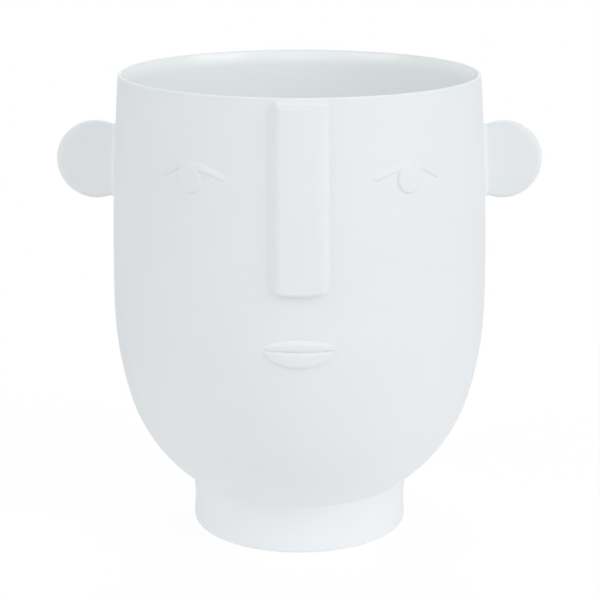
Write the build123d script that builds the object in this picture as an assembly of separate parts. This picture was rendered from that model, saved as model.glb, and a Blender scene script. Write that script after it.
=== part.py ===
from build123d import *
import math
import os

# A white porcelain vase in the form of a face: a deep round bowl on a foot ring, with a long bar
# nose that hangs from the rim, hooded eyes, a closed mouth and a flat round ear on each side.
# The ornaments are made one by one and luted on to the bowl's wall, and the bowl is glazed inside.
#
# Millimetres. The axis of the bowl is Z, the table is at Z = 0, and the face looks towards -Y.
# A place on the face is given by its distance round the wall from the middle of the face, and by
# its height. Angles are in degrees.

# Bowl
vase_height = 180.0
rim_radius = 69.1
belly_swell = 3.5
belly_height = 92.2
bowl_turn = 16.0
bowl_rise = 8.1
bowl_flat_radius = 6.3
wall = 2.6
glaze_thickness = 0.3

# Foot ring
foot_radius = 42.5
foot_wall = 5.5
foot_edge = 1.2
foot_waist = 0.35

# Ears
ear_radius = 15.1
ear_thickness = 5.0
ear_edge = 1.5
ear_centre_out = 7.3
ear_drop = 33.8

# Nose
nose_width = 19.4
nose_flare = 1.0
nose_length = 69.2
nose_proud = 2.8
nose_edge = 2.4
nose_corner = 3.2
nose_tip_bow = 1.2
nose_top_drop = 0.6

# Irises
eye_out = 41.2
eye_drop = 29.9
iris_radius = 5.4
iris_proud = 0.95
iris_edge = 1.6

# Upper eyelids
lid_start_out = 26.3
lid_length = 29.3
lid_start_drop = 29.6
lid_rise = 4.7
lid_end_fall = 1.4
lid_upper_width = 2.0
lid_lower_width = 1.4
lid_proud = 1.0

# Lips
mouth_width = 25.8
mouth_drop = 89.8
mouth_bow = 0.5
lip_parting = 0.16
upper_lip_height = 4.0
upper_lip_proud = 1.3
lower_lip_height = 6.7
lower_lip_proud = 1.6

# How far a piece's tool reaches into the wall before it is cut back to the wall's face
seat_depth = 0.8

# The eyelid's line, as shares of its length, and of its rise where it climbs from the inner end
# and then of its fall to the outer end
lid_along_shares = (0.0, 0.14, 0.28, 0.43, 0.57, 0.72, 0.88, 1.0)
lid_climb_shares = (0.0, 0.37, 0.70, 0.93, 1.0, 0.80, 0.28, 0.0)

# Fullness of the eyelid along its length, from the inner to the outer end
lid_station_shares = (0.0, 0.04, 0.12, 0.3, 0.5, 0.7, 0.86, 0.96, 1.0)
lid_fullness_shares = (0.34, 0.58, 0.78, 0.95, 1.0, 0.92, 0.7, 0.46, 0.3)

# Places of the lips' sections, as shares of half the mouth's width
lip_station_shares = (-0.985, -0.93, -0.8, -0.5, 0.0, 0.5, 0.8, 0.93, 0.985)

# Worked out from the sizes above
half_wall = wall / 2
belly_radius = rim_radius + belly_swell
lip_height = vase_height - half_wall
lip_radius = rim_radius - half_wall
shoulder_rise = lip_height - belly_height
shoulder_mid_radius = (belly_swell**2 + shoulder_rise**2) / (2 * belly_swell)
shoulder_radius = shoulder_mid_radius + half_wall
shoulder_lean = math.degrees(math.asin(shoulder_rise / shoulder_mid_radius))
shoulder_centre = (belly_radius - shoulder_radius, belly_height)

turn_sin = math.sin(math.radians(bowl_turn))
turn_cos = math.cos(math.radians(bowl_turn))
bowl_reach = belly_radius - bowl_flat_radius
bowl_depth = belly_height - bowl_rise
turn_sum = turn_sin + turn_cos - 1
side_radius = (bowl_depth * turn_cos - bowl_reach * (1 - turn_sin)) / turn_sum
base_radius = (bowl_reach * turn_sin - bowl_depth * (1 - turn_cos)) / turn_sum
side_centre = (belly_radius - side_radius, belly_height)
base_centre = (bowl_flat_radius, bowl_rise + base_radius)
turn_height = belly_height - side_radius * turn_sin


def polar(centre, radius, angle):
    """A point on a circle of the bowl's outline, at an angle above the level."""
    lean = math.radians(angle)
    return (centre[0] + radius * math.cos(lean), centre[1] + radius * math.sin(lean))


def wall_radius(height):
    """The radius of the bowl's outer face at a height."""
    if height >= belly_height:
        centre, radius = shoulder_centre, shoulder_radius
    elif height >= turn_height:
        centre, radius = side_centre, side_radius
    else:
        centre, radius = base_centre, base_radius
    return centre[0] + math.sqrt(radius**2 - (height - centre[1]) ** 2)


def wall_place(around, height):
    """A point on the bowl's outer face, and the way out of the wall there."""
    radius = wall_radius(height)
    angle = around / radius
    outward = Vector(math.sin(angle), -math.cos(angle), 0)
    return Vector(0, 0, height) + outward * radius, outward


def bowl_line(inset):
    """The bowl's outline from the lip down to the flat, a given depth inside the outer face."""
    top = polar(shoulder_centre, shoulder_radius - inset, shoulder_lean)
    upper = polar(shoulder_centre, shoulder_radius - inset, shoulder_lean / 2)
    belly = (belly_radius - inset, belly_height)
    side = polar(side_centre, side_radius - inset, -bowl_turn / 2)
    turn = polar(side_centre, side_radius - inset, -bowl_turn)
    base = polar(base_centre, base_radius - inset, -(90 + bowl_turn) / 2)
    flat = (bowl_flat_radius, bowl_rise + inset)
    shoulder_arc = ThreePointArc(top, upper, belly)
    side_arc = ThreePointArc(belly, side, turn)
    base_arc = ThreePointArc(turn, base, flat)
    return [shoulder_arc, side_arc, base_arc], top, flat


def upright(lines):
    """A face behind the axis from lines drawn as radius and height, clear of every ornament."""
    return Plane.YZ * make_face(lines)


def lip_tip(inner, outer):
    """The highest point of a half-round edge between two points."""
    middle = ((inner[0] + outer[0]) / 2, (inner[1] + outer[1]) / 2)
    return polar(middle, math.dist(inner, outer) / 2, shoulder_lean + 90)


def full_bowl():
    """The bowl as if solid, which is what the ornaments and the foot are cut back to."""
    outline, top, flat = bowl_line(0)
    rim = polar((lip_radius, lip_height), half_wall, 90)
    crown = polar((lip_radius, lip_height), half_wall, (90 + shoulder_lean) / 2)
    edge = ThreePointArc(rim, crown, top)
    closing = Polyline(flat, (0, flat[1]), (0, rim[1]), rim)
    return revolve(upright([edge, *outline, closing]), Axis.Z)


def cast_bowl():
    """The bowl: an even wall, a rounded lip, and a small flat in the middle of the floor."""
    outer, outer_top, outer_flat = bowl_line(0)
    inner, inner_top, inner_flat = bowl_line(wall)
    lip = ThreePointArc(inner_top, lip_tip(inner_top, outer_top), outer_top)
    floor = Polyline(outer_flat, (0, outer_flat[1]), (0, inner_flat[1]), inner_flat)
    return revolve(upright([lip, *outer, floor, *inner]), Axis.Z)


def glaze_coat():
    """The glaze: a thin coat over the whole inside, up to the start of the lip."""
    under, under_top, under_flat = bowl_line(wall)
    face, face_top, face_flat = bowl_line(wall + glaze_thickness)
    bead = ThreePointArc(face_top, lip_tip(face_top, under_top), under_top)
    floor = Polyline(under_flat, (0, under_flat[1]), (0, face_flat[1]), face_flat)
    return revolve(upright([bead, *under, floor, *face]), Axis.Z)


def foot_ring(bowl):
    """The foot: a slightly waisted ring with rounded edges, seated on the bowl's underside."""
    inner_radius = foot_radius - foot_wall
    top = wall_height(foot_radius)
    outside = ThreePointArc((foot_radius, 0), (foot_radius - foot_waist, top / 2), (foot_radius, top))
    rest = Polyline((foot_radius, top), (inner_radius, top), (inner_radius, 0), (foot_radius, 0))
    ring = revolve(upright([outside, rest]), Axis.Z)
    ring = fillet(ring.edges().group_by(Axis.Z)[0], foot_edge)
    return ring - bowl


def wall_height(radius):
    """The height at which the bowl's underside has a radius."""
    return base_centre[1] - math.sqrt(base_radius**2 - (radius - base_centre[0]) ** 2)


def ear(bowl):
    """The ear on the +X side: a flat round disc with rounded edges, standing square to the wall."""
    height = vase_height - ear_drop
    disc = extrude(Plane.XZ * Circle(ear_radius), ear_thickness / 2, both=True)
    disc = fillet(disc.edges().filter_by(GeomType.CIRCLE), ear_edge)
    return Pos(wall_radius(height) + ear_centre_out, 0, height) * disc - bowl


def nose(bowl):
    """The nose: a long bar that follows the wall down from the rim, a little wider at its tip."""
    top = vase_height - nose_top_drop
    tip = top - nose_length
    half_top = nose_width / 2
    half_tip = half_top + nose_flare / 2
    reach = belly_radius + nose_proud
    left, right = (-half_tip, tip + nose_tip_bow), (half_tip, tip + nose_tip_bow)
    sides = Polyline(left, (-half_top, top), (half_top, top), right)
    outline = make_face([sides, ThreePointArc(right, (0, tip), left)])
    outline = fillet(outline.vertices().group_by(Axis.Y)[0], nose_corner)
    block = extrude(Plane.XZ * outline, reach)
    outer, outer_top, outer_flat = bowl_line(-nose_proud)
    axis_foot, axis_top = (0, outer_flat[1]), (0, vase_height)
    closing = Polyline(outer_flat, axis_foot, axis_top, (outer_top[0], vase_height), outer_top)
    bar = block & revolve(upright([*outer, closing]), Axis.Z)
    return fillet(front_edges(bar), nose_edge) - bowl


def front_edges(bar):
    """The edges round the front of the nose, which all lie well ahead of the axis."""
    front = bar.faces().sort_by(Axis.Y)[0]
    return front.edges()


def iris(bowl, lid):
    """The iris on the +X side: a low button with a soft edge, tucked under the eyelid."""
    place, outward = wall_place(eye_out, vase_height - eye_drop)
    brow, root = (iris_radius - iris_edge, iris_proud), (iris_radius, -seat_depth)
    middle = Polyline(brow, (0, iris_proud), (0, -seat_depth), root)
    button = revolve(upright([middle, TangentArc(brow, root, tangent=(1, 0))]), Axis.Z)
    return Plane(origin=place, z_dir=outward).location * button - bowl - lid


def lid_section(fullness):
    """Across the eyelid: a long slope on the upper side and a short one on the lower side."""
    crest = (0, lid_proud * fullness)
    upper = (lid_upper_width * fullness + seat_depth / 2, -seat_depth)
    lower = (-lid_lower_width * fullness - seat_depth / 2, -seat_depth)
    over = TangentArc(crest, upper, tangent=(1, 0))
    under = TangentArc(crest, lower, tangent=(-1, 0))
    return make_face([over, Line(upper, lower), under])


def eyelid(bowl):
    """The upper eyelid on the +X side: a tapered bead that arches over the iris."""
    start = vase_height - lid_start_drop
    points = []
    for along, climb in zip(lid_along_shares, lid_climb_shares):
        height = start + lid_rise * climb - lid_end_fall * along
        points.append(wall_place(lid_start_out + lid_length * along, height)[0])
    line = Spline(points)
    sections = []
    for share, fullness in zip(lid_station_shares, lid_fullness_shares):
        place, tangent = line @ share, line % share
        outward = Vector(place.X, place.Y, 0).normalized()
        plane = Plane(origin=place, x_dir=outward.cross(tangent), z_dir=tangent)
        sections.append(plane * lid_section(fullness))
    return loft(sections) - bowl


def lip_section(near, far, proud, depth):
    """Across a lip: a plump arc that leaves the wall beside the parting line and at the far edge."""
    middle = (near + far) / 2
    radius = (((far - near) / 2) ** 2 + proud**2) / (2 * proud)
    rise = proud + depth
    reach = math.copysign(math.sqrt(2 * radius * rise - rise**2), far - near)
    start, end = (middle - reach, -depth), (middle + reach, -depth)
    return make_face([ThreePointArc(start, (middle, proud), end), Line(end, start)])


def lip(bowl, reach, proud):
    """A lip that grows from the parting line: upwards where its reach is positive, or down."""
    sections = []
    for share in lip_station_shares:
        swell = math.sqrt(1 - share**2)
        height = vase_height - mouth_drop - mouth_bow * (1 - share**2)
        place, outward = wall_place(mouth_width / 2 * share, height)
        plane = Plane(origin=place, x_dir=(0, 0, 1), z_dir=outward.cross(Vector(0, 0, -1)))
        near = math.copysign(lip_parting / 2, reach)
        sections.append(plane * lip_section(near, reach * swell, proud * swell, seat_depth * swell))
    return loft(sections) - bowl


def build():
    bowl = full_bowl()
    right_ear, right_lid = ear(bowl), eyelid(bowl)
    right_iris = iris(bowl, right_lid)
    return {
        "vase_body": cast_bowl(),
        "inner_glaze": glaze_coat(),
        "foot_ring": foot_ring(bowl),
        "nose": nose(bowl),
        "right_ear": right_ear,
        "left_ear": mirror(right_ear, Plane.YZ),
        "right_eyelid": right_lid,
        "left_eyelid": mirror(right_lid, Plane.YZ),
        "right_iris": right_iris,
        "left_iris": mirror(right_iris, Plane.YZ),
        "upper_lip": lip(bowl, upper_lip_height, upper_lip_proud),
        "lower_lip": lip(bowl, -lower_lip_height, lower_lip_proud),
    }


os.makedirs("parts", exist_ok=True)
for name, piece in build().items():
    export_step(piece, f"parts/{name}.step")
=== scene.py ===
import math

import bmesh
import bpy
import numpy as np
from bpy.props import FloatProperty, FloatVectorProperty, IntProperty, PointerProperty
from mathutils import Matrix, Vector


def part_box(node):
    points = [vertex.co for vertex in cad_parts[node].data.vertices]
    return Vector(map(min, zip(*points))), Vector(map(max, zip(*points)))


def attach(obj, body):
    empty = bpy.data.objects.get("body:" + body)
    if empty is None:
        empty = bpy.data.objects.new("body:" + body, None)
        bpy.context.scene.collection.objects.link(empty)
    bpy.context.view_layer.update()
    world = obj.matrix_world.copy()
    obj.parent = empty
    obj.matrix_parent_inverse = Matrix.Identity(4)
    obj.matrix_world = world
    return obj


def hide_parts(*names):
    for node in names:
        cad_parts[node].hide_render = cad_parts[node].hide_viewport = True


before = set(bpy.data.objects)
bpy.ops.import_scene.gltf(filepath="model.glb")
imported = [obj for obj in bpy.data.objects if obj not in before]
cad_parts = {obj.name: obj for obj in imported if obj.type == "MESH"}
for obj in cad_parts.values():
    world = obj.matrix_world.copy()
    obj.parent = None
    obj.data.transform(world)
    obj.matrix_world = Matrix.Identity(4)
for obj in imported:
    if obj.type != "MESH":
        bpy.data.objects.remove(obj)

# A white porcelain vase in the form of a face. The bowl, its glaze and its foot are turned about
# the axis Z; the nose, eyes and lips are laid on the bowl's outer face and the ears stand square to
# it, and each of them runs out into the wall in a hollow of slip. The face looks towards -Y.
#
# Metres, but defaults are written in millimetres and degrees. A place on the face is given by its
# distance round the wall from the middle of the face, and down the bowl's line from the lip's crown.

bl_info = {
    "name": "Face Vase",
    "version": (1, 0, 0),
    "blender": (4, 5, 0),
    "location": "3D View > Sidebar > Vase",
    "description": "A porcelain vase with a face, matte outside and glazed inside",
    "category": "Add Mesh",
}

MM = 0.001
BODY = "root"
BISQUE = "Bisque porcelain"
GLAZE = "Clear glaze"
# The most that a facet turns, and the gap that is welded shut
FACET_TURN = math.radians(8)
WELD = 0.002 * MM

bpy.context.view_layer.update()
bowl_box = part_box("vase_body")
foot_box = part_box("foot_ring")
nose_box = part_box("nose")
ear_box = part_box("right_ear")


# Sizes and colours

def size(name, text, default):
    """A length that a user may change, from its default in millimetres."""
    return FloatProperty(
        name=name, description=text, default=default * MM, min=0, subtype="DISTANCE", precision=5
    )


def angle(name, text, default):
    """An angle that a user may change, from its default in degrees."""
    return FloatProperty(name=name, description=text, default=math.radians(default), subtype="ANGLE")


def factor(name, text, default, most=1.0):
    """A plain number that a user may change."""
    return FloatProperty(name=name, description=text, default=default, min=0, max=most, precision=4)


def colour(name, text, default):
    """A colour that a user may change."""
    return FloatVectorProperty(
        name=name, description=text, default=(*default, 1), size=4, min=0, max=1, subtype="COLOR"
    )


class VaseBowl(bpy.types.PropertyGroup):
    height: size("Height", "From the table to the crown of the lip", bowl_box[1].z / MM)
    rim_radius: size("Rim Radius", "Outer radius at the top of the wall", 69.1)
    belly_radius: size("Belly Radius", "Outer radius at the widest place", bowl_box[1].y / MM)
    belly_height: size("Belly Height", "Height of the widest place", 92.2)
    turn: angle("Turn", "How far the side leans in before the base's tighter curve takes over", 16)
    rise: size("Rise", "Height of the bowl's underside above the table", bowl_box[0].z / MM)
    flat_radius: size("Flat Radius", "Radius of the flat in the middle of the floor", 6.3)
    wall: size("Wall", "Thickness of the cast wall", 2.6)
    glaze: size("Glaze", "Thickness of the glaze on the inside", 0.3)
    flare: size("Flare", "How much the wall thins towards the lip, on the inside", 1.2)
    flare_depth: size("Flare Depth", "How far below the lip the wall starts to thin", 5.5)
    ripple: size("Ripple", "How far the glaze's face wanders in and out", 0.05)
    ripple_width: size("Ripple Width", "Width of one wave in the glaze", 22)
    step: size("Step", "Length of a facet down the wall", 2.0)
    around: IntProperty(name="Steps Around", description="Facets round the bowl", default=240, min=3)


class VaseFoot(bpy.types.PropertyGroup):
    radius: size("Radius", "Outer radius of the ring", foot_box[1].y / MM)
    wall: size("Wall", "Thickness of the ring", 5.5)
    edge: size("Edge", "Rounding of the edges that stand on the table", 1.2)
    waist: size("Waist", "How far the outside is drawn in at half its height", 0.35)
    slip: size("Slip", "Radius of the hollow where the ring meets the bowl", 1.4)


class VaseNose(bpy.types.PropertyGroup):
    width: size("Width", "Width at the top", 19.4)
    flare: size("Flare", "How much wider the tip is than the top", 1.0)
    tip_height: size("Tip Height", "Height of the tip's lowest point", nose_box[0].z / MM)
    tip_bow: size("Tip Bow", "How far the tip's edge hangs down in the middle", 1.2)
    proud: size("Proud", "How far the nose stands out from the wall", 2.8)
    edge: size("Edge", "Width of the rounding along its sides", 3.6)
    tip_edge: size("Tip Edge", "Width of the steeper rounding under its tip", 2.0)
    top_gap: size("Top Gap", "How far below the crown of the lip it starts", 0.5)
    top_fade: size("Top Fade", "How far below its start it reaches its full height", 2.4)
    corner: size("Corner", "Radius of its corners, seen from the front", 2.5)
    slip: size("Slip", "Radius of the hollow along its foot", 0.9)
    step: size("Step", "Length of a facet along its outline", 1.6)


class VaseEars(bpy.types.PropertyGroup):
    radius: size("Radius", "Radius of the disc", (ear_box[1].z - ear_box[0].z) / 2 / MM)
    thickness: size("Thickness", "Thickness of the disc", (ear_box[1].y - ear_box[0].y) / MM)
    edge: size("Edge", "Rounding of the disc's edges", 2.1)
    height: size("Height", "Height of the disc's centre", (ear_box[1].z + ear_box[0].z) / 2 / MM)
    reach: size("Reach", "From the axis to the disc's outermost point", ear_box[1].x / MM)
    slip: size("Slip", "Radius of the hollow where the disc meets the wall", 2.0)
    step: size("Step", "Width of a slice where the disc meets the wall", 0.18)


class VaseEyes(bpy.types.PropertyGroup):
    iris_out: size("Iris Out", "From the middle of the face round to the iris", 41.2)
    iris_height: size("Iris Height", "Height of the iris's centre", 150.1)
    iris_radius: size("Iris Radius", "Radius of the iris", 5.4)
    iris_proud: size("Iris Proud", "How far the iris stands out", 1.0)
    iris_edge: size("Iris Edge", "Width of the iris's soft edge", 1.2)
    iris_slip: size("Iris Slip", "Radius of the hollow round the iris", 0.5)
    lid_out: size("Lid Out", "From the middle of the face round to the eyelid's inner end", 26.3)
    lid_height: size("Lid Height", "Height of the eyelid's inner end", 150.6)
    lid_length: size("Lid Length", "Length of the eyelid round the wall", 29.3)
    lid_rise: size("Lid Rise", "How far the eyelid arches up", 4.7)
    lid_fall: size("Lid Fall", "How much lower the eyelid's outer end is than its inner end", 1.4)
    lid_upper: size("Lid Upper Slope", "Width of the eyelid's long upper slope", 1.9)
    lid_lower: size("Lid Lower Slope", "Width of the eyelid's short lower slope", 1.15)
    lid_proud: size("Lid Proud", "How far the eyelid stands out", 0.85)
    lid_slip: size("Lid Slip", "Radius of the hollow above the eyelid", 0.9)
    lid_seam: size("Lid Seam", "Radius of the hollow below the eyelid", 0.35)


class VaseLips(bpy.types.PropertyGroup):
    width: size("Width", "Width of the mouth round the wall", 25.8)
    height: size("Height", "Height of the mouth's corners", 90.4)
    bow: size("Bow", "How far the parting line hangs down in the middle", 0.5)
    parting: size("Parting", "Gap between the lips", 0.16)
    parting_floor: size("Parting Floor", "How far the bottom of the parting stands out", 0.45)
    upper: size("Upper Lip", "Height of the upper lip in the middle", 4.0)
    upper_proud: size("Upper Proud", "How far the upper lip stands out", 1.2)
    lower: size("Lower Lip", "Height of the lower lip in the middle", 6.25)
    lower_proud: size("Lower Proud", "How far the lower lip stands out", 1.4)
    slope: size("Slope", "Width of the lips' rounded edges", 1.7)
    inner_slope: size("Inner Slope", "Width of the upper lip's edge above the parting line", 1.3)
    slip: size("Slip", "Radius of the hollow round the lips", 0.5)


class VaseFinish(bpy.types.PropertyGroup):
    bisque: colour("Bisque", "Colour of the bare porcelain", (0.845, 0.87, 0.885))
    bisque_shade: colour("Bisque Shade", "Colour of its slightly darker clouds", (0.834, 0.859, 0.873))
    bisque_roughness: factor("Bisque Roughness", "Roughness of the bare porcelain", 0.62)
    glaze: colour("Glaze", "Colour of the porcelain under the glaze", (0.94, 0.965, 0.965))
    glaze_pool: colour("Glaze Pool", "Colour where the glaze has run thick", (0.89, 0.93, 0.925))
    glaze_roughness: factor("Glaze Roughness", "Roughness of the glaze", 0.09)
    cloud_width: size("Cloud Width", "Width of one cloud in the clay's colour", 26)
    grain_width: size("Grain Width", "Width of one grain in the bare porcelain", 0.35)
    grain_depth: size("Grain Depth", "Depth of the bare porcelain's grain", 0.012)
    peel_width: size("Peel Width", "Width of one dimple in the glaze", 2.6)
    peel_depth: size("Peel Depth", "Depth of the glaze's dimples", 0.004)


class VaseStage(bpy.types.PropertyGroup):
    camera_out: size("Camera Out", "From the axis to the camera, level", 669.9)
    camera_up: size("Camera Up", "Height of the camera", 270)
    camera_aside: size("Camera Aside", "How far the camera stands to the right", 0.18)
    camera_pitch: angle("Camera Pitch", "How far the camera looks down", 15.07)
    sensor: factor("Sensor", "Width of the camera's picture, in millimetres", 36, 100)
    lens: factor("Lens", "Focal length for that width, in millimetres", 105.38, 500)
    room: factor("Room Light", "Strength of the light that comes from all round", 0.54, 5)
    room_behind: factor("Light Behind", "Strength of that light behind the vase", 0.25, 5)
    room_tint: colour("Room Tint", "Colour of that light", (0.97, 0.985, 1))
    key: factor("Key Light", "Power of the high light on the right, in watts", 10.2, 500)
    side: factor("Side Light", "Power of the low light on the right, in watts", 5.2, 500)
    left: factor("Left Light", "Power of the high light on the left, in watts", 9.9, 500)
    low: factor("Low Light", "Power of the low light in front, in watts", 3.0, 500)
    back: factor("Back Light", "Power of the light behind and above, in watts", 14.0, 500)
    lamp_size: size("Lamp Size", "Width of each lamp", 1600)
    table_size: size("Table", "Width of the table", 6000)
    table_tone: factor("Table Tone", "Share of the light on it that the table throws back", 0.3)
    table_light: factor("Table Light", "Strength of the light that the table adds", 0.49, 5)
    table_near: factor("Table Light Near", "Strength of that light close to the vase", 0.65, 5)
    near_start: size("Near Start", "From the axis to where the near light starts to weaken", 50)
    near_end: size("Near End", "From the axis to where it is as weak as elsewhere", 180)
    shadow: factor("Shadow", "How much of the vase's shadow shows on the table", 0.13)
    shadow_white: factor("Shadow White", "Strength of the white that the shadow falls on", 0.88)
    shadow_start: size("Shadow Start", "From the axis to where the shadow starts to fade", 60)
    shadow_end: size("Shadow End", "From the axis to where no shadow shows", 300)


class VaseSettings(bpy.types.PropertyGroup):
    bowl: PointerProperty(type=VaseBowl)
    foot: PointerProperty(type=VaseFoot)
    nose: PointerProperty(type=VaseNose)
    ears: PointerProperty(type=VaseEars)
    eyes: PointerProperty(type=VaseEyes)
    lips: PointerProperty(type=VaseLips)
    finish: PointerProperty(type=VaseFinish)
    stage: PointerProperty(type=VaseStage)


# The bowl's line. An arc is its centre, its radius, and the angles where it starts and ends.

def bowl_arcs(bowl, inset):
    """The bowl's line from the lip down to the flat, some way inside the outer face."""
    half_lip = (bowl.wall - bowl.flare) / 2
    swell = bowl.belly_radius - bowl.rim_radius
    rise = bowl.height - half_lip - bowl.belly_height
    middle = (swell**2 + rise**2) / (2 * swell)
    shoulder = middle + half_lip
    lean = math.asin(rise / middle)
    sine, cosine = math.sin(bowl.turn), math.cos(bowl.turn)
    reach = bowl.belly_radius - bowl.flat_radius
    depth = bowl.belly_height - bowl.rise
    side = (depth * cosine - reach * (1 - sine)) / (sine + cosine - 1)
    base = (reach * sine - depth * (1 - cosine)) / (sine + cosine - 1)
    return [
        ((bowl.belly_radius - shoulder, bowl.belly_height), shoulder - inset, lean, 0),
        ((bowl.belly_radius - side, bowl.belly_height), side - inset, 0, -bowl.turn),
        ((bowl.flat_radius, bowl.rise + base), base - inset, -bowl.turn, -math.pi / 2),
    ]


def lip_arc(bowl, inner, outer):
    """The half round that closes a shell's top between two depths inside the outer face."""
    inner, outer = (depth - bowl.flare if depth else depth for depth in (inner, outer))
    centre, radius, lean, _ = bowl_arcs(bowl, (inner + outer) / 2)[0]
    top = (centre[0] + radius * math.cos(lean), centre[1] + radius * math.sin(lean))
    return top, (inner - outer) / 2, lean, lean + math.pi


def along(arc, step):
    """Points along an arc, about a step apart, with the way out at each."""
    centre, radius, first, last = arc
    pieces = math.ceil(max(abs(last - first) * radius / step, abs(last - first) / FACET_TURN))
    turns = np.linspace(first, last, pieces + 1)
    outward = np.column_stack((np.cos(turns), np.sin(turns)))
    return np.array(centre) + radius * outward, outward


def joined(stretches):
    """Stretches of points in a row, each place where two meet only once."""
    return np.vstack([stretches[0], *(points[1:] for points in stretches[1:])])


def face_line(bowl, inset):
    """The bowl's line at some depth, from the lip down; inside, it opens out under the lip."""
    (centre, radius, lean, end), *rest = bowl_arcs(bowl, inset)
    below = lean - bowl.flare_depth / radius
    under_lip, outward = along((centre, radius, lean, below), bowl.step / 5)
    if inset:
        share = np.linspace(1, 0, len(under_lip))[:, None]
        under_lip += outward * bowl.flare * share**2
    arcs = [(centre, radius, below, end), *rest]
    return joined([under_lip, *(along(arc, bowl.step)[0] for arc in arcs)])


def shell_line(bowl, outer, inner):
    """The closed section of a bowl-shaped shell between two depths, from the axis back to it."""
    outside = face_line(bowl, outer)[::-1]
    lip = along(lip_arc(bowl, inner, outer), bowl.step)[0]
    inside = face_line(bowl, inner)
    first, last = [(0, bowl.rise + outer)], [(0, bowl.rise + inner)]
    return np.vstack([first, outside, lip[1:-1], inside, last])


class WallFace:
    """The bowl's outer face from the crown of the lip down, where the ornaments are laid."""

    def __init__(self, bowl):
        centre, radius, lean, inner = lip_arc(bowl, bowl.wall, 0)
        crown = math.pi / 2
        arcs = [(centre, radius, inner, crown), (centre, radius, crown, lean), *bowl_arcs(bowl, 0)]
        self.shoulder = arcs[2]
        points, outward = zip(*(along(arc, bowl.step / 8) for arc in arcs))
        self.line, self.outward = joined(points), joined(outward)
        steps = np.linalg.norm(np.diff(self.line, axis=0), axis=1)
        self.down = np.hstack((0, np.cumsum(steps)))
        self.crown = len(points[0]) - 1
        self.down -= self.down[self.crown]

    def down_at(self, height):
        """The distance down from the crown to a height."""
        return np.interp(height, self.line[:self.crown:-1, 1], self.down[:self.crown:-1])

    def radius_at(self, height):
        """The outer face's radius at a height."""
        return np.interp(height, self.line[:self.crown:-1, 1], self.line[:self.crown:-1, 0])

    def places(self, across, down, proud):
        """Points a height above the face, from distances round the wall and down it."""
        radius, height = (np.interp(down, self.down, self.line[:, i]) for i in (0, 1))
        out, up = (np.interp(down, self.down, self.outward[:, i]) for i in (0, 1))
        turn = across / radius
        reach = radius + proud * out
        return np.stack((reach * np.sin(turn), -reach * np.cos(turn), height + proud * up), axis=-1)

    def depth(self, points):
        """How far points lie inside the shoulder's face; those outside it are negative."""
        centre, radius = self.shoulder[:2]
        level = np.hypot(points[..., 0], points[..., 1])
        return radius - np.hypot(level - centre[0], points[..., 2] - centre[1])


# Meshes

def plain_object(name, mesh):
    """A new object for a mesh, at the origin."""
    made = bpy.data.objects.new(name, mesh)
    bpy.context.scene.collection.objects.link(made)
    return made


def close_up(mesh):
    """Welds seams and poles, turns the faces outwards and smooths them."""
    work = bmesh.new()
    work.from_mesh(mesh)
    bmesh.ops.remove_doubles(work, verts=work.verts, dist=WELD)
    bmesh.ops.recalc_face_normals(work, faces=work.faces)
    open_edges = sum(not edge.is_manifold for edge in work.edges)
    for face in work.faces:
        face.smooth = True
    work.to_mesh(mesh)
    work.free()
    if open_edges:
        raise RuntimeError(f"{mesh.name} has {open_edges} open edges")


def skin(name, rings):
    """A closed skin over rings of equally many points, the first and last drawn together."""
    rings = np.asarray(rings)
    places = np.arange(rings.shape[0] * rings.shape[1]).reshape(rings.shape[:2])
    beside = np.roll(places, -1, axis=1)
    faces = np.stack((places[:-1], beside[:-1], beside[1:], places[1:]), axis=-1)
    mesh = bpy.data.meshes.new(name)
    mesh.from_pydata(rings.reshape(-1, 3), [], faces.reshape(-1, 4).tolist())
    close_up(mesh)
    return plain_object(name, mesh)


def mirrored(piece):
    """The same piece on the other side of the face."""
    name = piece.name.replace("Right", "Left")
    mesh = piece.data.copy()
    mesh.name = name
    for vertex in mesh.vertices:
        vertex.co.x = -vertex.co.x
    close_up(mesh)
    return plain_object(name, mesh)


def settle(piece, node, material):
    """Gives a finished piece its place in the vase and its finish."""
    if material.name not in piece.data.materials:
        piece.data.materials.append(material)
    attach(piece, BODY)
    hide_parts(node)


def settle_pair(right, kind, material):
    """Settles a piece of the +X side, and then its like on the other side."""
    settle(right, "right_" + kind, material)
    settle(mirrored(right), "left_" + kind, material)


# Node trees

def socket(tree, name, kind, way="INPUT", text=""):
    """A new input or output of a node tree."""
    made = tree.interface.new_socket(name=name, in_out=way, socket_type="NodeSocket" + kind)
    made.description = text
    return made


def feed(tree, made, links):
    """Gives a node its values and links, by socket name or number."""
    for key, value in links.items():
        if isinstance(value, bpy.types.NodeSocket):
            tree.links.new(value, made.inputs[key])
        else:
            made.inputs[key].default_value = value


def node(tree, kind, links=None, **settings):
    """A new node with its settings, its values and its links."""
    made = tree.nodes.new(kind)
    for key, value in settings.items():
        setattr(made, key, value)
    feed(tree, made, links or {})
    return made


def result(tree, kind, links=None, **settings):
    """What a new node gives, by its first output."""
    return node(tree, kind, links, **settings).outputs[0]


def calculate(tree, operation, first, second, kind="ShaderNodeMath"):
    """The result of a maths node for two numbers or sockets."""
    return result(tree, kind, {0: first, 1: second}, operation=operation)


def eased_range(tree, value, low, high, start=0.0, end=1.0):
    """A number that goes smoothly from a start to an end while a value crosses a range."""
    links = {"Value": value, "From Min": low, "From Max": high, "To Min": start, "To Max": end}
    return result(tree, "ShaderNodeMapRange", links, interpolation_type="SMOOTHSTEP")


# Turning on the wheel

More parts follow.
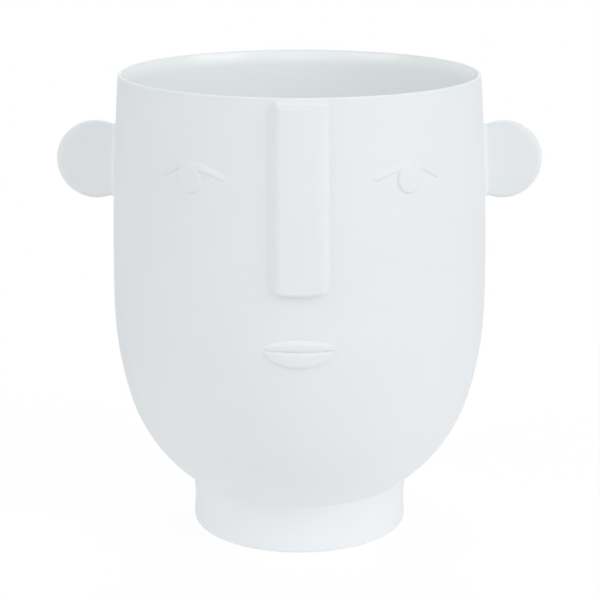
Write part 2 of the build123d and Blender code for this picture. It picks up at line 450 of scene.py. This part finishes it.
def wheel_tree():
    """Turns an outline, drawn as edges beside the axis, into a form of revolution."""
    tree = bpy.data.node_groups.new("Wheel", "GeometryNodeTree")
    for name, kind, text in (
        ("Outline", "Geometry", "Edges in the plane Y = 0, axis to axis"),
        ("Steps Around", "Int", "Number of facets round the axis"),
        ("Ripple", "Float", "How far the face wanders, in metres"),
        ("Ripple Width", "Float", "Width of one wave, in metres"),
        ("Seed", "Float", "Another number gives other waves"),
        ("Finish", "Material", "Material of the whole form"),
    ):
        socket(tree, name, kind, text=text)
    socket(tree, "Form", "Geometry", "OUTPUT")
    given = node(tree, "NodeGroupInput").outputs
    outline, steps = given["Outline"], given["Steps Around"]
    whole = "FunctionNodeIntegerMath"
    rows = result(tree, "GeometryNodeAttributeDomainSize", {0: outline})
    columns = calculate(tree, "ADD", steps, 1, whole)
    grid = result(tree, "GeometryNodeMeshGrid", {"Vertices X": columns, "Vertices Y": rows})
    index = result(tree, "GeometryNodeInputIndex")
    row = calculate(tree, "MODULO", index, rows, whole)
    column = calculate(tree, "DIVIDE_FLOOR", index, rows, whole)
    turn = calculate(tree, "MULTIPLY", calculate(tree, "DIVIDE", column, steps), math.tau)
    position = result(tree, "GeometryNodeInputPosition")
    links = {0: outline, 1: position, 2: row}
    drawn = result(tree, "GeometryNodeSampleIndex", links, data_type="FLOAT_VECTOR")
    links = {"Vector": drawn, "Angle": turn}
    turned = result(tree, "ShaderNodeVectorRotate", links, rotation_type="Z_AXIS")
    spun = result(tree, "GeometryNodeSetPosition", {0: grid, "Position": turned})
    welded = result(tree, "GeometryNodeMergeByDistance", {0: spun, "Distance": WELD})
    scale = calculate(tree, "DIVIDE", 1.0, given["Ripple Width"])
    links = {"W": given["Seed"], "Scale": scale, "Detail": 1.0}
    noise = result(tree, "ShaderNodeTexNoise", links, noise_dimensions="4D")
    ripple = calculate(tree, "MULTIPLY", calculate(tree, "SUBTRACT", noise, 0.5), given["Ripple"])
    normal = result(tree, "GeometryNodeInputNormal")
    shift = result(tree, "ShaderNodeVectorMath", {0: normal, "Scale": ripple}, operation="SCALE")
    waved = result(tree, "GeometryNodeSetPosition", {0: welded, "Offset": shift})
    smooth = result(tree, "GeometryNodeSetShadeSmooth", {0: waved})
    real = result(tree, "GeometryNodeRealizeInstances", {0: smooth})
    dressed = result(tree, "GeometryNodeSetMaterial", {0: real, "Material": given["Finish"]})
    node(tree, "NodeGroupOutput", {0: dressed})
    return tree


def turned_piece(name, outline, around, material, ripple=0.0, ripple_width=1.0, seed=1.0):
    """A piece turned on the wheel from its outline, as a plain mesh."""
    drawn = bpy.data.meshes.new(name)
    points = [(radius, 0, height) for radius, height in outline]
    drawn.from_pydata(points, [(i, i + 1) for i in range(len(points) - 1)], [])
    piece = plain_object(name, drawn)
    tree = bpy.data.node_groups.get("Wheel") or wheel_tree()
    wheel = piece.modifiers.new("Wheel", "NODES")
    wheel.node_group = tree
    values = {
        "Steps Around": around, "Ripple": ripple, "Ripple Width": ripple_width, "Seed": seed,
        "Finish": material,
    }
    for item in tree.interface.items_tree:
        if item.in_out == "INPUT" and item.name in values:
            wheel[item.identifier] = values[item.name]
    depsgraph = bpy.context.evaluated_depsgraph_get()
    mesh = bpy.data.meshes.new_from_object(piece.evaluated_get(depsgraph), depsgraph=depsgraph)
    piece.modifiers.clear()
    piece.data = mesh
    mesh.name = name
    bpy.data.meshes.remove(drawn)
    close_up(mesh)
    return piece


def foot_line(bowl, foot):
    """The ring's section: rounded edges below, a waisted outside, and a hollow up to the bowl."""
    centre, base = bowl_arcs(bowl, 0)[2][:2]
    out = foot.radius + foot.slip - centre[0]
    up = centre[1] - math.sqrt((base + foot.slip) ** 2 - out**2)
    toward = math.atan2(centre[1] - up, -out)
    hollow = along(((foot.radius + foot.slip, up), foot.slip, math.pi, toward), foot.slip / 8)[0]
    down, facet = -math.pi / 2, foot.edge / 8
    outer_edge = along(((foot.radius - foot.edge, foot.edge), foot.edge, down, 0), facet)[0]
    inner_radius = foot.radius - foot.wall
    inner_edge = along(((inner_radius + foot.edge, foot.edge), foot.edge, -math.pi, down), facet)[0]
    climb = np.linspace(0, 1, num=17)[1:-1]
    waisted = foot.radius - foot.waist * np.sin(math.pi * climb) ** 2
    side = np.column_stack((waisted, foot.edge + (up - foot.edge) * climb))
    landing = math.atan2(hollow[-1][1] - centre[1], hollow[-1][0] - centre[0])
    run_out = landing + foot.slip / base
    sunk = along((centre, base - bowl.wall / 40, landing + foot.slip / base / 2, run_out), foot.slip)[0]
    inner_landing = -math.acos((inner_radius - centre[0]) / base)
    seat = along((centre, base - bowl.wall / 4, run_out, inner_landing), foot.wall / 6)[0]
    start = np.array([(inner_radius, centre[1] - base * math.sin(-inner_landing))])
    return np.vstack([inner_edge, outer_edge, side, hollow, sunk, seat, start, inner_edge[:1]])


# Beads of clay on the wall

def bead_side(width, proud, slip, steps=10):
    """From a bead's crest down to the wall: a round fall, then the hollow that the slip leaves."""
    fall = (width**2 + proud**2) / (2 * proud)
    foot = math.sqrt((fall + slip) ** 2 - (slip + fall - proud) ** 2)
    steepest = math.asin(foot / (fall + slip))
    turns = np.linspace(0, steepest, steps)
    over = np.column_stack((fall * np.sin(turns), proud - fall + fall * np.cos(turns)))
    back = turns[::-1]
    hollow = np.column_stack((foot - slip * np.sin(back), slip - slip * np.cos(back)))
    return np.vstack([over, hollow[1:]])


def bead_section(upper, lower, proud, slips, flat=0.0):
    """The closed section of a bead: its face from the upper edge to the lower, then its back."""
    above = bead_side(upper, proud, slips[0])[::-1] + (flat / 2, 0)
    below = (bead_side(lower, proud, slips[1]) + (flat / 2, 0)) * (-1, 1)
    face = np.vstack([above, below if flat else below[1:]])
    edge = proud / 6
    first, last = face[0][0], face[-1][0]
    over = [(first + 2 * edge, -1.5 * edge), (first + edge, -edge / 6)]
    under = [(last - edge, -edge / 6), (last - 2 * edge, -1.5 * edge)]
    back = [(share * first + (1 - share) * last, -3 * edge) for share in (0, 0.25, 0.5, 0.75, 1)]
    return np.vstack([over, face, under, back])


def bead_along(name, wall, line, sections):
    """A bead laid along a line on the wall, from its sections one by one."""
    way = np.gradient(line, axis=0)
    way /= np.linalg.norm(way, axis=1, keepdims=True)
    rings = []
    for (across, height), (forward, climb), section in zip(line, way, sections):
        offset = section[:, 0]
        rings.append(wall.places(
            across - climb * offset, wall.down_at(height) - forward * offset, section[:, 1]
        ))
    return skin(name, rings)


# The eyelid's line, as shares of its length and of its rise, and its fullness along that line
LID_ALONG_SHARES = (0.0, 0.14, 0.28, 0.43, 0.57, 0.72, 0.88, 1.0)
LID_CLIMB_SHARES = (0.0, 0.37, 0.70, 0.93, 1.0, 0.80, 0.28, 0.0)
LID_FULLNESS_SHARES = (0.60, 0.84, 0.97, 1.0, 0.96, 0.84, 0.62, 0.38)
# The share of the eyelid's length over which each end closes
LID_END_SHARE = 0.09


def eyelid(wall, eyes):
    """The upper eyelid on the +X side: a tapered bead that arches over the iris."""
    share = (1 - np.cos(np.linspace(0, math.pi, num=81))) / 2
    fit = np.polynomial.Polynomial.fit
    climb = fit(LID_ALONG_SHARES, LID_CLIMB_SHARES, deg=6)(share)
    fullness = fit(LID_ALONG_SHARES, LID_FULLNESS_SHARES, deg=4)(share)
    near_end = np.minimum(share, 1 - share)
    fullness = fullness * np.sqrt(1 - np.clip(1 - near_end / LID_END_SHARE, 0, 1) ** 2)
    across = eyes.lid_out + eyes.lid_length * share
    height = eyes.lid_height + eyes.lid_rise * climb - eyes.lid_fall * share
    sections = [
        full * bead_section(eyes.lid_upper, eyes.lid_lower, eyes.lid_proud, (eyes.lid_slip, eyes.lid_seam))
        for full in fullness
    ]
    return bead_along("RightEyelid", wall, np.column_stack((across, height)), sections)


def lip(name, wall, lips, reach, slopes, proud):
    """A lip that grows from the parting line: upwards where its reach is positive, or down."""
    turns = np.linspace(0, math.pi, num=97)
    swell = np.sin(turns)
    across = -lips.width / 2 * np.cos(turns)
    parting = lips.height - lips.bow * swell**2
    near = math.copysign(lips.parting / 2, reach)
    slips = (lips.slip, lips.parting) if reach > 0 else (lips.parting, lips.slip)
    section = bead_section(*slopes, proud, slips, abs(reach - near) - sum(slopes))
    section[:, 0] += (reach + near) / 2 + (slopes[1] - slopes[0]) / 2
    inward = section[:, 0] / math.copysign(1, reach) < abs(reach) / 2
    face = inward & (section[:, 1] >= 0)
    section[face, 1] *= 1 - lips.parting_floor / proud
    section[inward & (section[:, 1] > -proud / 3), 1] += lips.parting_floor
    rings = [
        wall.places(
            np.full(len(section), place), wall.down_at(height) - section[:, 0] * full,
            section[:, 1] * full**0.75,
        )
        for place, height, full in zip(across, parting, swell)
    ]
    return skin(name, rings)


def iris(wall, eyes):
    """The iris on the +X side: a low button with a soft edge."""
    steps = 96
    turns = np.linspace(0, math.tau, steps, endpoint=False)
    flat = eyes.iris_radius - eyes.iris_edge
    side = bead_side(eyes.iris_edge, eyes.iris_proud, eyes.iris_slip)
    edge = [(flat + out, proud) for out, proud in side]
    last = edge[-1][0]
    sunk = -eyes.iris_proud / 2
    face = [(flat * share, eyes.iris_proud) for share in (0, 0.35, 0.7)]
    back = [(last + eyes.iris_slip / 4, sunk / 20), (last + eyes.iris_slip / 2, sunk / 2)]
    back += [(last * share, sunk) for share in (1, 0.6, 0.3, 0)]
    down = wall.down_at(eyes.iris_height)
    rings = [
        wall.places(eyes.iris_out + out * np.cos(turns), down - out * np.sin(turns), np.full(steps, proud))
        for out, proud in face + edge + back
    ]
    return skin("RightIris", rings)


def bar_outline(half, length, corner, inset, step):
    """A round-cornered bar's outline drawn in by some width, its points in step at every inset."""
    slack = corner - inset
    radius = (slack + math.hypot(slack, corner / 2)) / 2
    near, far = inset + radius, length - inset - radius
    side = half - inset - radius
    across_pieces = math.ceil((half - corner) / step)
    down_pieces = math.ceil((length - 2 * corner) / step)
    centres = [((side, near), down_pieces), ((side, far), across_pieces * 2),
               ((-side, far), down_pieces), ((-side, near), across_pieces * 2)]
    points = []
    for i, (centre, pieces) in enumerate(centres):
        turns = (np.linspace(0, 1, num=11) + i - 1) * math.pi / 2
        corner_points = np.array(centre) + radius * np.column_stack((np.cos(turns), np.sin(turns)))
        run = np.linspace(0, 1, pieces + 1)[1:-1, None]
        leave = radius * np.array((math.cos(turns[-1]), math.sin(turns[-1])))
        start, end = np.array(centre) + leave, np.array(centres[(i + 1) % 4][0]) + leave
        points += [corner_points, start + (end - start) * run]
    return np.vstack(points)


def ease(share):
    """A share from 0 to 1 that starts and ends gently."""
    share = np.clip(share, 0, 1)
    return share**2 * (3 - 2 * share)


def nose_bar(wall, nose):
    """The nose: a long bar that follows the wall down from the rim, a little wider at its tip."""
    half = nose.width / 2
    side = bead_side(nose.edge, nose.proud, nose.slip, steps=16)
    whole_edge = side[-1][0]
    spread = whole_edge - nose.edge
    start = nose.top_gap + spread
    length = float(wall.down_at(nose.tip_height + nose.tip_bow)) - start
    levels = [(nose.edge - out, proud) for out, proud in side]
    levels += [(-spread - nose.slip / 4, -nose.proud / 100), (-spread - nose.slip / 2, -nose.proud / 10)]
    outlines = [bar_outline(half, length, nose.corner, inset, nose.step) for inset, _ in levels]
    at_tip = ease((outlines[len(side) - 1][:, 1] - length) / (2 * nose.corner) + 1)
    for outline, (inset, _) in zip(outlines, levels):
        outline[:, 1] += at_tip * (inset + spread) * (1 - nose.tip_edge / whole_edge)
    flat, foot = outlines[0], outlines[-1]
    spine = np.column_stack((np.zeros(len(flat)), np.clip(flat[:, 1], half, length - half)))
    rings = [(spine + (flat - spine) * share, nose.proud) for share in (0, 0.3, 0.6, 0.85)]
    rings += [(outline, proud) for outline, (_, proud) in zip(outlines, levels)]
    rings += [(spine + (foot - spine) * share, -nose.proud / 4) for share in (1, 0.66, 0.33, 0)]
    laid = []
    for points, proud in rings:
        share = np.clip(points[:, 1] / length, 0, None)
        across = points[:, 0] * (1 + nose.flare / nose.width * share)
        bow = nose.tip_bow * (1 - (points[:, 0] / half) ** 2) * share**6
        height = np.full(len(points), proud)
        if proud > 0:
            height *= ease((spread + points[:, 1]) / nose.top_fade)
        laid.append(wall.places(across, start + points[:, 1] + bow, height))
    return skin("Nose", laid)


def ear(wall, ears):
    """The ear on the +X side: slices of a round disc from inside the wall out to its tip."""
    centre = ears.reach - ears.radius
    shelf = wall.radius_at(ears.height + ears.radius) - ears.slip / 2
    bed = np.arange(shelf, wall.radius_at(ears.height - ears.radius) + ears.slip, ears.step)
    free = math.acos((bed[-1] - centre) / ears.radius)
    out = centre + ears.radius * np.cos(np.linspace(free, 0, num=56)[1:])
    rings = [
        ear_slice(wall, ears, min(x - centre, ears.radius), centre) for x in np.hstack((bed, out))
    ]
    cap = rings[0] * (1, 0, 1)
    return skin("RightEar", [cap, *rings])


def ear_slice(wall, ears, across, centre):
    """One upright slice of the disc, spread where it nears the wall by the hollow of slip."""
    inner = ears.radius - ears.edge
    half_flat = ears.thickness / 2 - ears.edge
    first = math.asin(min(1, max(0, (abs(across) - inner) / ears.edge))) if across > 0 else 0
    turns = np.linspace(first, math.pi / 2, num=9)
    radii = inner + ears.edge * np.sin(turns)
    round_y = half_flat + ears.edge * np.cos(turns)
    round_z = np.sqrt(np.clip(radii**2 - across**2, 0, None))
    top = math.sqrt(max(0, ears.radius**2 - across**2))
    corner = np.column_stack((round_y, round_z, np.cos(turns), np.sin(turns)))
    face = [(round_y[0], z, 1, 0) for z in np.linspace(-1, 1, num=25)[1:-1] * round_z[0]]
    edge = [(y, top, 0, 1) for y in np.linspace(1, -1, num=5)[1:-1] * half_flat]
    half = np.vstack((face, corner, edge, corner[::-1] * (-1, 1, -1, 1)))
    y, z, way_y, way_z = np.vstack((half, -half)).T
    points = np.column_stack((np.full(len(y), centre + across), y, ears.height + z))
    clear = np.clip(-wall.depth(points), 0, ears.slip)
    spread = ears.slip - np.sqrt(ears.slip**2 - (ears.slip - clear) ** 2)
    moved = points + np.column_stack((np.zeros(len(y)), way_y * spread, way_z * spread))
    slack = wall.depth(moved) - wall.depth(points)
    moved[:, 0] += slack * (spread > 0)
    return moved


# Finishes

def texture_group(name, inputs, outputs):
    """A new shader group that has Width and Seed too, with its inputs and what a texture needs."""
    tree = bpy.data.node_groups.new(name, "ShaderNodeTree")
    for label, kind, value in [*inputs, ("Width", "Float", 0.02), ("Seed", "Float", 0.0)]:
        socket(tree, label, kind).default_value = value
    for label, kind in outputs:
        socket(tree, label, kind, "OUTPUT")
    given = node(tree, "NodeGroupInput").outputs
    place = node(tree, "ShaderNodeTexCoord").outputs["Object"]
    scale = calculate(tree, "DIVIDE", 1.0, given["Width"])
    return tree, given, {"Vector": place, "W": given["Seed"], "Scale": scale}


def blend(tree, share, first, second):
    """A colour between two others."""
    return node(tree, "ShaderNodeMix", {0: share, 6: first, 7: second}, data_type="RGBA").outputs[2]


def clouds_group():
    """A colour that drifts between two tones in soft clouds."""
    tones = [("Tone", "Color", (1, 1, 1, 1)), ("Cloud Tone", "Color", (0.9, 0.9, 0.9, 1))]
    outputs = [("Colour", "Color"), ("Clouds", "Float")]
    tree, given, place = texture_group("Clouded Colour", tones, outputs)
    links = {**place, "Detail": 5.0, "Roughness": 0.55}
    noise = result(tree, "ShaderNodeTexNoise", links, noise_dimensions="4D")
    clouds = eased_range(tree, noise, low=0.32, high=0.68)
    tone = blend(tree, clouds, given["Tone"], given["Cloud Tone"])
    node(tree, "NodeGroupOutput", {0: tone, 1: clouds})
    return tree


def grain_group():
    """A fine uneven face: soft dimples with sparse pits among them."""
    tree, given, place = texture_group("Fine Grain", [("Pits", "Float", 0.5)], [("Height", "Float")])
    links = {**place, "Detail": 3.0, "Roughness": 0.6}
    dimples = result(tree, "ShaderNodeTexNoise", links, noise_dimensions="4D")
    links = {**place, "Scale": calculate(tree, "DIVIDE", place["Scale"], 9.0)}
    cells = node(tree, "ShaderNodeTexVoronoi", links, voronoi_dimensions="4D")
    pits = eased_range(tree, cells.outputs["Distance"], low=0.02, high=0.12, start=1.0, end=0.0)
    deep = calculate(tree, "MULTIPLY", pits, given["Pits"])
    node(tree, "NodeGroupOutput", {0: calculate(tree, "SUBTRACT", dimples, deep)})
    return tree


def placed(tree, group, maker, **values):
    """A shared group in a material, with its own values."""
    made = node(tree, "ShaderNodeGroup", node_tree=bpy.data.node_groups.get(group) or maker())
    feed(tree, made, {name.replace("_", " ").title(): value for name, value in values.items()})
    return made


def bump(tree, grain, depth, strength):
    """A shading normal that follows a grain."""
    links = {"Strength": strength, "Distance": depth, "Height": grain.outputs["Height"]}
    return result(tree, "ShaderNodeBump", links)


def new_material(name):
    """A node material with nothing but its Principled shader and its output."""
    material = bpy.data.materials.new(name)
    material.use_nodes = True
    return material, material.node_tree, material.node_tree.nodes["Principled BSDF"]


def bisque_material(finish):
    """Bare porcelain, fired and rubbed smooth: matte, with a fine grain and faint clouds."""
    material, tree, shader = new_material(BISQUE)
    tone = placed(
        tree, "Clouded Colour", clouds_group,
        tone=finish.bisque, cloud_tone=finish.bisque_shade, width=finish.cloud_width, seed=3.0,
    )
    grain = placed(tree, "Fine Grain", grain_group, width=finish.grain_width, pits=0.6, seed=5.0)
    smoothest, roughest = (finish.bisque_roughness + change for change in (-0.03, 0.05))
    links = {"Value": tone.outputs["Clouds"], "To Min": smoothest, "To Max": roughest}
    rough = result(tree, "ShaderNodeMapRange", links)
    feed(tree, shader, {
        "Base Color": tone.outputs["Colour"], "Roughness": rough, "Specular IOR Level": 0.35,
        "Normal": bump(tree, grain, finish.grain_depth, strength=0.6),
    })
    return material


def glaze_material(finish, bowl):
    """Clear glaze over porcelain: glossy, gently dimpled, and tinted where it has run thick."""
    material, tree, shader = new_material(GLAZE)
    tone = placed(
        tree, "Clouded Colour", clouds_group,
        tone=finish.glaze, cloud_tone=finish.glaze, width=finish.cloud_width * 2, seed=11.0,
    )
    peel = placed(tree, "Fine Grain", grain_group, width=finish.peel_width, pits=0.0, seed=7.0)
    place = node(tree, "ShaderNodeTexCoord").outputs["Object"]
    height = node(tree, "ShaderNodeSeparateXYZ", {0: place}).outputs["Z"]
    drift = calculate(tree, "MULTIPLY", tone.outputs["Clouds"], bowl.height / 8)
    level = calculate(tree, "ADD", height, drift)
    pool = eased_range(tree, level, bowl.rise, bowl.height / 2, start=1.0, end=0.0)
    feed(tree, shader, {
        "Base Color": blend(tree, pool, tone.outputs["Colour"], finish.glaze_pool),
        "Roughness": finish.glaze_roughness,
        "Normal": bump(tree, peel, finish.peel_depth, strength=0.5),
    })
    return material


# The stage

# Where each lamp stands; its power is the stage's value of the same name
LAMP_PLACES = {
    "Key": (1.5, -0.9, 1.3), "Side": (1.6, -0.9, 0.5), "Left": (-1.5, -0.9, 1.3),
    "Low": (0, -1.7, 0.35), "Back": (0, 1.2, 1.5),
}
# How far back a direction points, of 1, where the room's light starts to weaken and is weakest
WEAKER_BEHIND = (-0.2, 0.7)


def seen_ray(tree):
    """One where the eye or a mirror looks at a surface, and none where light falls on it."""
    path = node(tree, "ShaderNodeLightPath").outputs
    by_mirror = calculate(tree, "MAXIMUM", path["Is Glossy Ray"], path["Is Transmission Ray"])
    return calculate(tree, "MAXIMUM", path["Is Camera Ray"], by_mirror)


def glow(tree, strength, kind="Emission", tint=(1, 1, 1, 1)):
    """A shader that gives off light by itself."""
    return result(tree, "ShaderNode" + kind, {"Color": tint, "Strength": strength})


def mixed(tree, share, first, second):
    """A shader between two others."""
    return result(tree, "ShaderNodeMixShader", {0: share, 1: first, 2: second})


def light_room(stage):
    """White where the eye looks, and a light on the vase from all round, weaker from behind."""
    world = bpy.data.worlds.new("Room")
    bpy.context.scene.world = world
    world.use_nodes = True
    tree = world.node_tree
    tree.nodes.clear()
    direction = node(tree, "ShaderNodeTexCoord").outputs["Generated"]
    back = node(tree, "ShaderNodeSeparateXYZ", {0: direction}).outputs["Y"]
    strength = eased_range(tree, back, *WEAKER_BEHIND, stage.room, stage.room_behind)
    lit = glow(tree, strength, "Background", stage.room_tint)
    seen = glow(tree, 1.0, "Background")
    node(tree, "ShaderNodeOutputWorld", {0: mixed(tree, seen_ray(tree), lit, seen)})


def lit_face(tree, tone, light):
    """A matte grey shader with some light of its own."""
    matte = result(tree, "ShaderNodeBsdfDiffuse", {"Color": (tone, tone, tone, 1)})
    return result(tree, "ShaderNodeAddShader", {0: matte, 1: glow(tree, light)})


def table_material(stage):
    """A white table top that stays white to the eye and keeps a breath of the vase's shadow."""
    material, tree, _ = new_material("White table")
    tree.nodes.clear()
    place = node(tree, "ShaderNodeTexCoord").outputs["Object"]
    away = node(tree, "ShaderNodeVectorMath", {0: place}, operation="LENGTH").outputs["Value"]
    near, far = stage.near_start, stage.near_end
    light = eased_range(tree, away, near, far, stage.table_near, stage.table_light)
    bounced = lit_face(tree, stage.table_tone, light)
    shaded = lit_face(tree, stage.shadow, stage.shadow_white)
    white = eased_range(tree, away, stage.shadow_start, stage.shadow_end)
    shown = mixed(tree, white, shaded, glow(tree, 1.0))
    node(tree, "ShaderNodeOutputMaterial", {0: mixed(tree, seen_ray(tree), bounced, shown)})
    return material


def soft_light(name, place, target, width, power):
    """A broad lamp that faces a point."""
    lamp = bpy.data.lights.new(name, "AREA")
    lamp.shape = "DISK"
    lamp.size = width
    lamp.energy = power
    made = plain_object(name, lamp)
    made.location = place
    made.rotation_euler = (Vector(target) - Vector(place)).to_track_quat("-Z", "Y").to_euler()


# Operators

class VaseOperator:
    """What the operators share."""

    bl_options = {"REGISTER", "UNDO"}

    @property
    def vase(self):
        return bpy.context.scene.vase

    @property
    def wall(self):
        return WallFace(self.vase.bowl)

    @property
    def bisque(self):
        return bpy.data.materials.get(BISQUE) or bisque_material(self.vase.finish)


class VASE_OT_turn_bowl(VaseOperator, bpy.types.Operator):
    """Turn the bowl: an even wall with a rounded lip"""

    bl_idname = "vase.turn_bowl"
    bl_label = "Turn Bowl"

    def execute(self, context):
        bowl = self.vase.bowl
        piece = turned_piece("Bowl", shell_line(bowl, 0, bowl.wall), bowl.around, self.bisque)
        settle(piece, "vase_body", self.bisque)
        return {"FINISHED"}


class VASE_OT_coat_inside(VaseOperator, bpy.types.Operator):
    """Coat the inside of the bowl with clear glaze"""

    bl_idname = "vase.coat_inside"
    bl_label = "Coat Inside"

    def execute(self, context):
        bowl = self.vase.bowl
        material = bpy.data.materials.get(GLAZE) or glaze_material(self.vase.finish, bowl)
        outline = shell_line(bowl, bowl.wall, bowl.wall + bowl.glaze)
        waves = {"ripple": bowl.ripple, "ripple_width": bowl.ripple_width, "seed": 4.0}
        piece = turned_piece("Glaze", outline, bowl.around, material, **waves)
        settle(piece, "inner_glaze", material)
        return {"FINISHED"}


class VASE_OT_turn_foot(VaseOperator, bpy.types.Operator):
    """Turn the foot ring that the bowl is seated on"""

    bl_idname = "vase.turn_foot"
    bl_label = "Turn Foot Ring"

    def execute(self, context):
        bowl = self.vase.bowl
        piece = turned_piece("FootRing", foot_line(bowl, self.vase.foot), bowl.around, self.bisque)
        settle(piece, "foot_ring", self.bisque)
        return {"FINISHED"}


class VASE_OT_lay_nose(VaseOperator, bpy.types.Operator):
    """Lay the long bar of the nose down the wall from the rim"""

    bl_idname = "vase.lay_nose"
    bl_label = "Lay Nose"

    def execute(self, context):
        settle(nose_bar(self.wall, self.vase.nose), "nose", self.bisque)
        return {"FINISHED"}


class VASE_OT_set_ears(VaseOperator, bpy.types.Operator):
    """Set a flat round ear on each side"""

    bl_idname = "vase.set_ears"
    bl_label = "Set Ears"

    def execute(self, context):
        settle_pair(ear(self.wall, self.vase.ears), "ear", self.bisque)
        return {"FINISHED"}


class VASE_OT_press_irises(VaseOperator, bpy.types.Operator):
    """Press a low round iris on each side of the nose"""

    bl_idname = "vase.press_irises"
    bl_label = "Press Irises"

    def execute(self, context):
        settle_pair(iris(self.wall, self.vase.eyes), "iris", self.bisque)
        return {"FINISHED"}


class VASE_OT_lay_eyelids(VaseOperator, bpy.types.Operator):
    """Lay an arched eyelid over each iris"""

    bl_idname = "vase.lay_eyelids"
    bl_label = "Lay Eyelids"

    def execute(self, context):
        settle_pair(eyelid(self.wall, self.vase.eyes), "eyelid", self.bisque)
        return {"FINISHED"}


class VASE_OT_form_lips(VaseOperator, bpy.types.Operator):
    """Form the closed lips under the nose"""

    bl_idname = "vase.form_lips"
    bl_label = "Form Lips"

    def execute(self, context):
        lips = self.vase.lips
        slopes = lips.slope, lips.inner_slope
        upper = lip("UpperLip", self.wall, lips, lips.upper, slopes, lips.upper_proud)
        settle(upper, "upper_lip", self.bisque)
        slopes = lips.slope, lips.slope
        lower = lip("LowerLip", self.wall, lips, -lips.lower, slopes, lips.lower_proud)
        settle(lower, "lower_lip", self.bisque)
        return {"FINISHED"}


class VASE_OT_set_stage(VaseOperator, bpy.types.Operator):
    """Set the white table, the lights and the camera"""

    bl_idname = "vase.set_stage"
    bl_label = "Set Stage"

    def execute(self, context):
        stage = self.vase.stage
        scene = context.scene
        scene.view_settings.view_transform = "Standard"
        light_room(stage)
        bpy.ops.mesh.primitive_plane_add(size=stage.table_size)
        floor = context.object
        floor.name = "Table"
        floor.data.materials.append(table_material(stage))
        middle = (0, 0, self.vase.bowl.height / 2)
        for name, place in LAMP_PLACES.items():
            soft_light(name, place, middle, stage.lamp_size, getattr(stage, name.lower()))
        camera = plain_object("Camera", bpy.data.cameras.new("Camera"))
        camera.data.sensor_width = stage.sensor
        camera.data.lens = stage.lens
        camera.location = (stage.camera_aside, -stage.camera_out, stage.camera_up)
        camera.rotation_euler = (math.pi / 2 - stage.camera_pitch, 0, 0)
        scene.camera = camera
        return {"FINISHED"}


class VASE_PT_panel(bpy.types.Panel):
    """The steps of making the vase, and its sizes"""

    bl_idname = "VASE_PT_panel"
    bl_label = "Face Vase"
    bl_space_type = "VIEW_3D"
    bl_region_type = "UI"
    bl_category = "Vase"

    def draw(self, context):
        for step in STEPS:
            self.layout.operator(step.bl_idname)
        for part in VaseSettings.__annotations__:
            box = self.layout.box()
            box.label(text=part.title())
            group = getattr(context.scene.vase, part)
            for name in group.__annotations__:
                box.prop(group, name)


STEPS = (
    VASE_OT_turn_bowl, VASE_OT_coat_inside, VASE_OT_turn_foot, VASE_OT_lay_nose, VASE_OT_set_ears,
    VASE_OT_press_irises, VASE_OT_lay_eyelids, VASE_OT_form_lips, VASE_OT_set_stage,
)
CLASSES = (
    VaseBowl, VaseFoot, VaseNose, VaseEars, VaseEyes, VaseLips, VaseFinish, VaseStage, VaseSettings,
    *STEPS, VASE_PT_panel,
)


def register():
    for made in CLASSES:
        bpy.utils.register_class(made)
    bpy.types.Scene.vase = PointerProperty(type=VaseSettings)


def unregister():
    del bpy.types.Scene.vase
    for made in reversed(CLASSES):
        bpy.utils.unregister_class(made)


def main():
    register()
    for step in STEPS:
        getattr(bpy.ops.vase, step.bl_idname.split(".")[1])()


if __name__ == "__main__":
    main()
